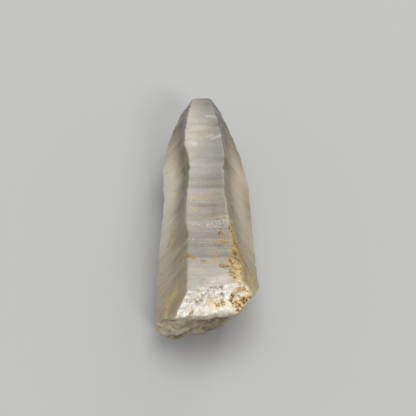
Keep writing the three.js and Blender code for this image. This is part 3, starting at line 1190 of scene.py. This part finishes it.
    def broken_relief(self) -> np.ndarray:
        """The crumbled bevel and the shell-like break below it.

        Returns:
            How deep each vertex is set, in millimetres.
        """
        p = self.skin.places
        folds = layered_cloud(p / 2.1, seed=11, layers=2)
        crumbled = 0.26 + 0.22 * folds + 0.3 * shards(p / 1.5, seed=61) + 0.2 * shards(p / 0.7, seed=71)
        crumbled += 0.3 * veins(p / 1.3, seed=91)
        hackle = 0.24 + 0.2 * shards(p / np.array([3.4, 2.2, 1.6]), seed=13) + 0.1 * shards(p / 0.8, seed=17)
        hackle += 0.14 * layered_cloud(p * np.array([0.35, 0.5, 1.1]), seed=19)
        hackle *= 1 - 0.75 * smooth_step(p[:, 0], -4.6, -6.4)
        for centre in self.shell_centres:
            distance = np.linalg.norm(p - np.array(centre), axis=1) + 0.3 * folds
            ripple = np.sin(distance * math.tau / self.shell_pitch)
            hackle += self.shell_depth * ripple * smooth_step(distance, 9, 4)
        relief = self.bevel * np.maximum(crumbled, 0) + self.under * np.maximum(hackle, 0)
        relief *= 1 - 0.85 * self.layers[Mark.GLAZE]
        relief += self.crease_depth * self.layers[Mark.CREASE] * self.break_all
        relief += self.notch_depth * self.layers[Mark.NOTCH]
        # deep marks the break's hollows, and the finish paints shade into them.
        self.deep = smooth_step(relief, 0.32, 0.85)
        return self.skin.blurred(relief, 1)

    def part_finishes(self, mesh: bpy.types.Mesh) -> None:
        """Gives the broken faces their own finish.

        Args:
            mesh: The finished mesh.
        """
        corners = np.empty(len(mesh.loops), dtype=np.int64)
        mesh.loops.foreach_get("vertex_index", corners)
        starts = np.empty(len(mesh.polygons), dtype=np.int64)
        mesh.polygons.foreach_get("loop_start", starts)
        broken = self.break_all[corners[starts]] > 0.5
        mesh.polygons.foreach_set("material_index", broken.astype(np.int32))
        mesh.update()

    def paint(self) -> None:
        """Stores what the finish needs to know about each place."""
        skin, layers, zones = self.skin, self.layers, self.zones
        x, y, _ = skin.places.T
        grown = 1 - self.break_all
        top, across_top = self.faces[Face.TOP], self.share_across(Face.TOP)
        self.place_flanks()
        patches = smooth_step(cloud(skin.places * zones.patch_scale, seed=27), -0.6, 0.4)
        self.mark_tone(across_top)
        skin.mark("lines", self.line_strength(patches))
        skin.mark("blue", top * (1 - across_top) * smooth_step(y, *zones.blue_top))
        flow = 0.6 * top * smooth_step(y, *zones.flow_end) * smooth_step(y, *zones.flow_start)
        upper = self.faces[Face.RIGHT_UPPER] + self.faces[Face.LEFT_UPPER]
        skin.mark("threads", skin.blurred(upper * smooth_step(y, *zones.threads) + flow, 3) * grown)
        # A painted rim glow, lighter beside the flanks' outer edges and chiefly on the left. It is painted
        # light, stored with the painted highlights under pale.
        painted_rim_glow = smooth_step(self.wavy_inward, 0.5, 0.1) * self.growth.along("outer", y)
        painted_rim_glow *= self.is_left + 0.35 * self.is_right
        skin.mark("pale", skin.blurred(painted_rim_glow * grown, 3) + layers[Mark.PALE])
        # clear: painted shade, the dark strips beside the top edges and the dark patches.
        skin.mark("clear", skin.blurred(self.painted_dark_strip(patches) * grown, 3) + layers[Mark.CLEAR])
        shown = 1 - 0.85 * layers[Mark.GLAZE]
        skin.mark("broken", skin.blurred(self.under, 2) * shown)
        skin.mark("crushed", skin.blurred(self.bevel, 2) * shown)
        skin.mark("rough", np.clip(self.break_all * shown + layers[Mark.FROST] + layers[Mark.CRUST], 0, 1))
        # The edge attribute paints highlights along the sharp edges. They are dimmed on the right edge
        # towards the tip, and away from the flanks' long edges.
        dim_right_edge = smooth_step(y, *zones.unhighlighted_edge) * smooth_step(x, *zones.right_side)
        shine = smooth_step(cloud(skin.places / 2.3, seed=35), -0.3, 0.5) * (1 - 0.85 * dim_right_edge)
        inside = smooth_step(self.inward, 0.08, 0.2) * smooth_step(self.inward, 0.92, 0.8)
        skin.mark("edge", self.edges * shine * (1 - 0.85 * inside))
        # deep: painted shade in the break's hollows.
        skin.mark("deep", self.deep)
        for kind in PAINTED_MARKS:
            skin.mark(kind.value, layers[kind])

    def place_flanks(self) -> None:
        """Works out how far each vertex of the two upper flanks lies from its outer edge."""
        self.is_right = self.owner == list(Face).index(Face.RIGHT_UPPER)
        self.is_left = self.owner == list(Face).index(Face.LEFT_UPPER)
        right, left = self.share_across(Face.RIGHT_UPPER), 1 - self.share_across(Face.LEFT_UPPER)
        self.inward = np.where(self.is_right, right, np.where(self.is_left, left, 0.0))
        wobble = 0.05 * cloud(self.skin.places * self.zones.wobble_scale, seed=21)
        self.wavy_inward = self.inward + wobble

    def mark_tone(self, across_top: np.ndarray) -> None:
        """Stores the painted light and shade in the stone's tone, and how warm the stone is.

        Args:
            across_top: How far each vertex of the top face lies from its right edge, from 0 to 1.
        """
        skin, zones, faces = self.skin, self.zones, self.faces
        x, y, _ = skin.places.T
        top, every = faces[Face.TOP], sum(faces.values())
        along = self.growth.along
        # The top face's tone: painted shade below the growth ledges and at the tip, and painted light on its
        # left side from lean.
        tone = 1 + top * (along("top", y) - 1 + (across_top - 0.5) * along("top_left_light", y))
        # The flanks and lower faces: painted light and shade along the crystal.
        tone += faces[Face.LEFT_UPPER] * (along("left", y) - 1)
        tone += self.lower_faces() * (along("lower", y) - 1)
        # Painted shade at the tip, off the prism faces.
        tone -= 0.72 * (1 - every).clip(0) * smooth_step(y, *zones.tip)
        outside = smooth_step(self.inward, 0.4, 0.05)
        # The right flank's tone, with painted shade beside its outer edge.
        tone += faces[Face.RIGHT_UPPER] * (along("right", y) - 1 - outside * along("right_rim_shade", y))
        # Painted shade under the overhang, on the lower break.
        tone -= 0.3 * self.under * smooth_step(x, *zones.break_right)
        tone -= 0.1 * self.under * smooth_step(x, *zones.break_left)
        surely = (every + self.break_all + smooth_step(y, *zones.tip_faces)).clip(0.02, 1) + 2 * top
        skin.mark("tone", skin.blurred(tone * surely, 5) / skin.blurred(surely, 5))
        flanks = (every - top + self.break_all).clip(0, 1)
        flanks = skin.blurred(flanks * surely, 4) / skin.blurred(surely, 4)
        creamy = smooth_step(y, *zones.creamy_start) * smooth_step(y, *zones.creamy_end)
        creamy *= 0.3 * top * across_top
        skin.mark("warm", 0.85 * flanks + skin.blurred(creamy, 3))

    def lower_faces(self) -> np.ndarray:
        """How surely each vertex lies on one of the three lower faces."""
        return self.faces[Face.LEFT_LOWER] + self.faces[Face.RIGHT_LOWER] + self.faces[Face.BOTTOM]

    def line_strength(self, patches: np.ndarray) -> np.ndarray:
        """How strongly the growth lines show in the stone's colour.

        Args:
            patches: Soft patches from 0 to 1.

        Returns:
            One number for each vertex.
        """
        y, zones = self.skin.places[:, 1], self.zones
        flank = 1.4 * smooth_step(y, *zones.lined_base) - 0.7 * smooth_step(y, *zones.plain_tip)
        strength = 1 + flank * (1 - self.faces[Face.TOP])
        return (0.35 + 0.65 * smooth_step(y, *zones.lined)) * (0.5 + 0.5 * patches) * strength

    def painted_dark_strip(self, patches: np.ndarray) -> np.ndarray:
        """The painted dark strip beside the top edges, and the painted shade on the lower faces towards the
        tip.

        Args:
            patches: Soft patches from 0 to 1.

        Returns:
            How dark each vertex is painted.
        """
        y, zones = self.skin.places[:, 1], self.zones
        start = self.growth.along("band", y)
        strip = smooth_step(self.wavy_inward + 0.1 * self.is_left, start, start + 0.5)
        strip *= self.growth.along("inner", y)
        waist = smooth_step(y, *zones.waist_start) * smooth_step(y, *zones.waist_end)
        strip *= 1.35 + 0.3 * self.is_left * waist
        # The lower faces darken towards the tip, carrying on the painted dark strip: painted shade.
        return strip + 0.5 * self.lower_faces() * smooth_step(y, *zones.dark_tip) * (0.4 + 0.6 * patches)


# ---- Studio ---------------------------------------------------------------------------------------


@dataclass(frozen=True)
class Lamp:
    """A broad soft light, far enough away to light the whole floor alike.

    Args:
        name: The light's name.
        place: Which way it lies from the crystal.
        softness: How wide it looks from the crystal, in degrees.
        strength: How brightly it lights a floor that faces it.
    """

    name: str
    place: Place
    softness: float
    strength: float


@dataclass
class Studio:
    """A pale floor, soft lights and the camera.

    Args:
        floor_width: Length of the floor's side, in millimetres.
        aim: The place that the camera and lights face.
        camera_height: How far above level the camera looks from, in degrees.
        camera_distance: Its distance from the aim, in millimetres.
        camera_angle: How wide it sees, in degrees.
        sensor: Its sensor's width, in millimetres.
        room: How brightly the room itself glows.
        lamps: The lights.
        finish: The floor's finish.
    """

    floor_width: float = 9000.0
    aim: Place = (0.275, -0.51, 10.0)
    camera_height: float = 45.0
    camera_distance: float = 246.8
    camera_angle: float = 24.0
    sensor: float = 36.0
    room: float = 0.5
    lamps: tuple[Lamp, ...] = (
        Lamp("overhead", (0.1, 0.05, 1.0), 45, 1.6),
        Lamp("behind", (0.45, 0.8, 0.45), 16, 0.45),
        Lamp("front", (0.36, -0.8, 0.55), 14, 1.15),
    )
    finish: FloorFinish = field(default_factory=FloorFinish)

    def build(self) -> None:
        """Makes the floor, lights and camera."""
        self.lay_floor()
        for lamp in self.lamps:
            self.hang(lamp)
        self.place_camera()
        bpy.context.scene.view_settings.view_transform = "Standard"
        world = bpy.data.worlds.new("room")
        world.use_nodes = True
        world.node_tree.nodes["Background"].inputs["Color"].default_value = (1, 1, 1, 1)
        world.node_tree.nodes["Background"].inputs["Strength"].default_value = self.room
        bpy.context.scene.world = world
        log.info("studio ready")

    def lay_floor(self) -> None:
        """Puts the floor under the crystal."""
        bpy.ops.object.select_all(action="DESELECT")
        bpy.ops.mesh.primitive_plane_add(size=self.floor_width * MM, location=(0, 0, 0))
        floor = bpy.context.active_object
        floor.name = "floor"
        floor.data.materials.append(self.finish.make())

    def hang(self, lamp: Lamp) -> None:
        """Adds one light.

        Args:
            lamp: The light.
        """
        light = bpy.data.lights.new(lamp.name, "SUN")
        light.angle = math.radians(lamp.softness)
        light.energy = lamp.strength
        holder = bpy.data.objects.new(lamp.name, light)
        bpy.context.scene.collection.objects.link(holder)
        holder.location = Vector(lamp.place)
        self.face_aim(holder)

    def face_aim(self, holder: bpy.types.Object) -> None:
        """Turns a light or camera towards the crystal."""
        way = Vector(self.aim) * MM - holder.location
        holder.rotation_euler = way.to_track_quat("-Z", "Y").to_euler()

    def place_camera(self) -> None:
        """Adds the camera, looking down the crystal from its base."""
        view = bpy.data.cameras.new("camera")
        view.sensor_width = self.sensor
        view.lens = self.sensor / (2 * math.tan(math.radians(self.camera_angle) / 2))
        view.clip_start = 0.01
        holder = bpy.data.objects.new("camera", view)
        bpy.context.scene.collection.objects.link(holder)
        height = math.radians(self.camera_height)
        back = Vector((0, -math.cos(height), math.sin(height))) * self.camera_distance
        holder.location = (Vector(self.aim) + back) * MM
        self.face_aim(holder)
        bpy.context.scene.camera = holder


# ---- Where the marks are --------------------------------------------------------------------------

MARKS: dict[Mark, tuple[Seep, ...]] = {
    Mark.RUST: (
        Seep(((-4.7, -25.6, 20.0), (-3.8, -26.4, 20.8), (-2.8, -27.3, 20.8)), 0.6, 0.62),
        Seep(((-2.4, -27.8, 20.8), (-1.1, -28.1, 20.8), (0.7, -27.7, 20.8), (1.6, -27.6, 20.8)), 0.42, 0.5),
        Seep(((1.6, -27.6, 20.8), (2.1, -26.2, 20.8), (2.3, -25.1, 20.8)), 0.4, 0.45),
        Seep(((2.5, -19.2, 20.8), (3.5, -20.3, 20.8)), 0.8, 0.7),
        Seep(((3.6, -22.3, 20.8), (4.2, -22.6, 20.8)), 0.5, 0.75),
        Seep(((1.0, -22.1, 20.8), (5.2, -22.0, 20.8)), 0.7, 0.28, 0.8),
        Seep(((5.6, -16.9, 20.6), (6.1, -20.9, 20.6), (6.5, -23.5, 20.6)), 0.8, 0.62, 0.8),
        Seep(((6.2, -21.8, 20.7), (6.6, -24.4, 20.7)), 0.8, 0.5),
        Seep(((6.6, -25.2, 20.7), (7.0, -26.6, 20.6), (7.3, -28.0, 20.5)), 1.2, 1.0, 0.8),
        Seep(((7.2, -27.0, 20.5), (7.9, -28.8, 20.1), (8.2, -30.2, 19.6)), 0.8, 0.6),
        Seep(((6.5, -22.0, 20.6), (7.6, -24.6, 19.6), (8.5, -25.6, 18.2), (9.4, -27.6, 17.3)), 1.5, 0.72),
        Seep(((9.4, -27.6, 17.3), (10.3, -29.2, 16.2)), 0.9, 0.4),
        Seep(((8.4, -25.0, 18.4), (9.4, -28.0, 17.0), (9.8, -31.5, 16.9)), 1.7, 0.34),
        Seep(((6.2, -17.0, 19.6), (6.8, -20.0, 19.2), (7.4, -23.6, 18.9)), 1.0, 0.34),
        Seep(((5.4, -24.0, 20.8), (5.6, -28.2, 20.8), (6.9, -30.4, 20.8)), 1.3, 0.42),
        Seep(((6.6, -26.4, 20.6), (7.2, -29.0, 20.5), (7.4, -32.4, 20.2)), 1.2, 0.4),
        Seep(((3.2, -29.0, 20.8), (4.8, -29.9, 20.8)), 0.7, 0.62),
        Seep(((5.0, -30.5, 20.8), (6.6, -33.0, 20.8)), 0.8, 0.45),
        Seep(((-3.4, -39.9, 16.3), (-3.4, -39.7, 16.6)), 0.45, 0.85),
        Seep(((-3.0, -39.3, 17.1),), 0.4, 0.5),
        Seep(((1.2, -38.2, 17.4), (2.3, -38.0, 17.3), (3.7, -37.7, 17.3)), 0.65, 0.5),
        Seep(((3.4, -37.7, 17.3), (3.7, -37.5, 17.5)), 0.45, 1.0),
        Seep(((6.0, -36.4, 18.2), (5.8, -36.9, 17.9)), 0.9, 1.0),
        Seep(((5.6, -37.3, 17.6), (5.9, -37.0, 17.9)), 0.35, 0.75),
        Seep(((6.9, -35.2, 17.2), (7.4, -35.1, 16.8)), 0.35, 0.7),
        Seep(((6.2, -37.4, 17.0), (6.9, -37.2, 16.2), (7.8, -36.6, 15.8)), 1.3, 0.42, 0.7),
        Seep(((6.1, -37.5, 17.1), (6.6, -36.7, 16.7), (7.2, -36.6, 16.1)), 0.9, 0.95),
        Seep(((8.0, -35.7, 16.0), (8.9, -35.2, 16.1), (9.6, -35.2, 16.3)), 0.95, 1.0),
        Seep(((7.4, -37.0, 16.0), (8.3, -36.3, 15.7), (9.2, -35.8, 15.8)), 0.9, 0.5),
        Seep(((6.9, -38.0, 15.8), (7.3, -37.6, 15.6)), 1.0, 0.95),
        Seep(((7.4, -34.2, 18.0), (8.7, -34.2, 17.7), (9.6, -34.4, 17.0)), 0.9, 0.4),
        Seep(((-7.0, -12.6, 16.2), (-8.3, -14.4, 14.5), (-9.3, -16.1, 12.8)), 1.1, 0.3),
        Seep(((-8.9, -15.4, 13.4), (-9.4, -16.4, 12.6)), 0.6, 0.62),
        Seep(((-4.6, -25.6, 20.2), (-5.4, -26.6, 18.8)), 0.5, 0.4),
        Seep(((-8.2, -36.2, 14.0), (-9.1, -37.5, 12.5)), 0.6, 0.36),
        Seep(((6.1, -6.4, 17.7),), 0.6, 0.4, 0.6),
        Seep(((9.6, -18.3, 14.1), (10.0, -18.5, 13.4)), 0.5, 0.4, 0.6),
        Seep(((-4.6, -8.4, 20.8), (1.2, -8.4, 20.8)), 0.35, 0.26, 0.7),
        Seep(((2.6, -8.3, 20.8), (4.6, -8.4, 20.8)), 0.3, 0.18, 0.7),
        Seep(((-4.5, -10.7, 20.8), (-2.0, -10.9, 20.8)), 0.4, 0.26),
        Seep(((-4.0, -11.7, 20.8), (-2.4, -11.6, 20.8)), 0.35, 0.22),
        Seep(((2.2, -14.0, 20.8), (5.2, -13.8, 20.8)), 0.4, 0.28),
        Seep(((-3.0, -21.6, 20.8), (4.4, -21.4, 20.8)), 0.4, 0.26, 0.8),
        Seep(((-2.0, -22.4, 20.8), (3.0, -22.6, 20.8)), 0.3, 0.24, 0.8),
        Seep(((-7.4, -33.2, 15.4), (-8.0, -33.4, 14.4), (-8.7, -34.0, 13.2)), 0.8, 0.36),
    ),
    Mark.CRUST: (
        Seep(((9.6, -31.0, 17.2), (10.2, -32.0, 16.2), (10.8, -30.4, 15.2)), 2.4, 0.25, 0.3),
        Seep(((6.2, -23.6, 20.8), (6.9, -27.6, 20.7)), 1.3, 0.6),
        Seep(((6.8, -28.6, 20.7), (7.2, -31.0, 20.6), (7.3, -33.8, 20.4)), 1.5, 1.0, 0.7),
        Seep(((6.2, -35.2, 18.6), (7.8, -34.4, 17.9), (9.4, -34.4, 17.2), (9.8, -35.0, 16.5)), 1.3, 1.0, 0.8),
        Seep(((6.4, -37.2, 16.8), (7.8, -36.0, 16.2), (9.2, -35.4, 16.0)), 2.6, 1.0, 0.5),
        Seep(((0.8, -37.8, 17.8), (2.9, -37.8, 17.4), (4.2, -37.4, 17.6)), 1.1, 0.95),
        Seep(((-7.1, -33.0, 16.0), (-7.9, -33.4, 14.7), (-8.7, -34.0, 13.2)), 2.0, 1.0, 0.7),
        Seep(((-9.0, -36.0, 12.7), (-9.4, -37.8, 12.1)), 1.0, 0.9, 0.6),
    ),
    # Painted highlights: glints on the top face, the lit lip, and bright spots on the bevel and chip.
    Mark.PALE: (
        Seep(((1.2, -33.6, 20.8), (4.7, -33.0, 20.8)), 1.2, 0.7, 0.7),
        Seep(((4.2, -36.2, 19.4), (4.7, -37.0, 18.0), (5.1, -37.6, 17.3)), 1.0, 0.95, 0.7),
        Seep(((7.4, -34.9, 17.1), (8.3, -34.9, 16.7)), 0.8, 0.95),
        Seep(((0.0, 25.1, 18.8), (1.8, 25.2, 18.8)), 0.8, 0.75, 0.7),
        Seep(((1.3, 14.1, 20.3), (2.2, 14.9, 20.2), (3.4, 15.9, 20.2)), 0.6, 0.8, 0.7),
        Seep(((0.2, 15.4, 20.2), (1.4, 15.9, 20.2)), 0.45, 0.6, 0.7),
        Seep(((-4.4, 13.0, 20.5), (-2.8, 12.5, 20.4)), 0.8, 0.7, 0.7),
        Seep(((-3.2, 18.6, 19.9), (-1.0, 19.4, 19.8)), 1.6, 0.35, 0.8),
        Seep(((5.0, 3.4, 19.4), (5.4, -0.6, 19.3)), 1.5, 0.6, 0.8),
        Seep(((-9.9, 4.0, 10.9),), 0.4, 1.0, 0.3),
        Seep(((-2.4, -39.6, 16.0), (-0.6, -39.2, 15.8)), 1.8, 0.35, 0.4),
        Seep(((0.6, -38.9, 15.7), (1.2, -38.7, 15.6), (2.9, -38.5, 15.4)), 2.2, 0.7, 0.3),
        Seep(((2.9, -38.5, 15.4), (4.7, -38.2, 15.6), (6.2, -38.2, 15.7)), 2.4, 0.75, 0.3),
    ),
    # Painted shade: dark patches where the stone shows dark through it.
    Mark.CLEAR: (
        Seep(((2.1, 22.5, 19.4), (3.4, 20.0, 19.8)), 1.6, 0.25, 0.7),
        Seep(((-1.8, -10.4, 20.8), (1.8, -10.6, 20.8), (1.4, -12.8, 20.8)), 1.1, 0.16, 0.7),
        Seep(((5.8, -7.9, 18.4), (6.3, -10.0, 18.2)), 0.9, 0.2, 0.7),
    ),
    Mark.FROST: (
        Seep(((-7.4, -33.1, 15.4), (-8.1, -33.6, 14.3), (-8.6, -34.0, 13.4)), 0.8, 0.6),
        Seep(((-9.0, -36.2, 12.7), (-9.4, -37.9, 12.0)), 0.8, 0.9, 0.5),
        Seep(((1.2, -17.0, 20.8), (5.3, -15.0, 20.8)), 2.4, 0.9, 0.7),
        Seep(((-4.0, -16.0, 20.8), (-1.6, -16.6, 20.8)), 0.9, 0.6, 0.8),
    ),
    # Creases: the first two are real cracks on the bevel; the rest are painted shade in the break's hollows
    # and under the overhanging lip.
    Mark.CREASE: (
        Seep(((0.3, -36.4, 19.9), (-0.6, -37.1, 19.3), (-1.5, -37.7, 18.7), (-2.4, -38.0, 18.1)), 0.4, 0.4),
        Seep(((3.1, -35.6, 20.3), (3.3, -36.5, 19.3), (3.8, -36.8, 18.3), (3.4, -37.3, 17.8)), 0.4, 0.6),
        Seep(((-0.9, -34.9, 7.8), (0.3, -35.6, 8.8), (1.4, -34.8, 8.6), (2.6, -34.0, 7.8)), 2.0, 1.0, 0.8),
        Seep(((2.6, -34.0, 7.8), (4.0, -33.6, 7.0), (4.8, -33.0, 5.8)), 1.7, 0.95, 0.8),
        Seep(((-2.4, -37.8, 11.2), (-4.6, -38.0, 11.4), (-5.6, -37.1, 9.1)), 1.1, 0.6, 0.7),
        Seep(((-3.3, -37.9, 10.9), (-3.8, -35.9, 7.3), (-5.6, -36.9, 8.1)), 1.1, 0.6),
        Seep(((-5.3, -35.3, 3.9), (-4.6, -35.8, 4.7), (-3.9, -35.7, 4.5)), 1.5, 1.0, 0.8),
        Seep(((-6.2, -35.3, 2.7), (-6.6, -35.0, 1.8)), 1.4, 0.85, 0.8),
        Seep(((-8.3, -36.0, 3.5), (-8.9, -35.8, 2.4)), 1.0, 0.5),
        Seep(((-0.7, -32.8, 2.5), (0.3, -31.9, 0.8)), 0.8, 0.55),
        Seep(((0.7, -34.4, 6.4), (1.4, -33.9, 6.2)), 0.7, 0.8, 0.6),
        Seep(
            ((-10.4, -36.9, 9.6), (-9.4, -38.1, 11.8), (-8.3, -39.4, 13.6), (-7.4, -39.8, 13.8)),
            0.7, 0.6, 0.5,
        ),
        Seep(((-7.4, -39.8, 13.8), (-7.0, -39.2, 12.4), (-6.9, -37.4, 9.8)), 0.6, 0.45, 0.6),
    ),
    Mark.GLAZE: (
        Seep(((-1.0, -38.5, 17.9), (-0.2, -38.8, 16.9)), 0.9, 0.9, 0.5),
        Seep(((-3.6, -37.4, 19.0), (-2.0, -37.4, 19.0)), 1.2, 0.6),
        Seep(
            ((-2.4, -39.7, 15.4), (-0.6, -39.3, 15.4), (1.2, -38.8, 15.4), (2.9, -38.6, 15.2)),
            2.2, 1.0, 0.2,
        ),
        Seep(((2.9, -38.6, 15.2), (4.7, -38.4, 15.4), (6.4, -38.2, 15.6)), 2.4, 1.0, 0.2),
        Seep(((-4.2, -36.3, 20.3), (-1.2, -36.0, 20.4)), 0.9, 0.8, 0.6),
        Seep(((-9.4, -36.6, 8.2), (-8.0, -37.6, 9.0), (-7.6, -36.6, 5.6)), 3.6, 0.6, 0.3),
    ),
    Mark.NOTCH: (
        Seep(((-3.3, -34.4, -0.3), (-3.5, -35.4, 1.8)), 1.3, 1.7, 0.1),
    ),
    Mark.BULGE: (
        Seep(((0.3, -39.0, 14.8), (2.3, -38.6, 14.4), (4.3, -38.3, 14.6)), 2.2, 0.55, 0.1),
        Seep(((-1.9, -32.9, 0.8), (-0.9, -32.6, 0.9)), 1.9, 1.1, 0.1),
        Seep(((-6.6, -37.0, 8.0), (-5.6, -36.2, 5.0)), 2.2, 0.5, 0.3),
    ),
}


def main() -> None:
    """Builds the crystal and its studio."""
    logging.basicConfig(level=logging.INFO, format="%(message)s")
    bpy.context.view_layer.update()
    Crystal(marks=MARKS).build()
    Studio().build()


if __name__ == "__main__":
    main()
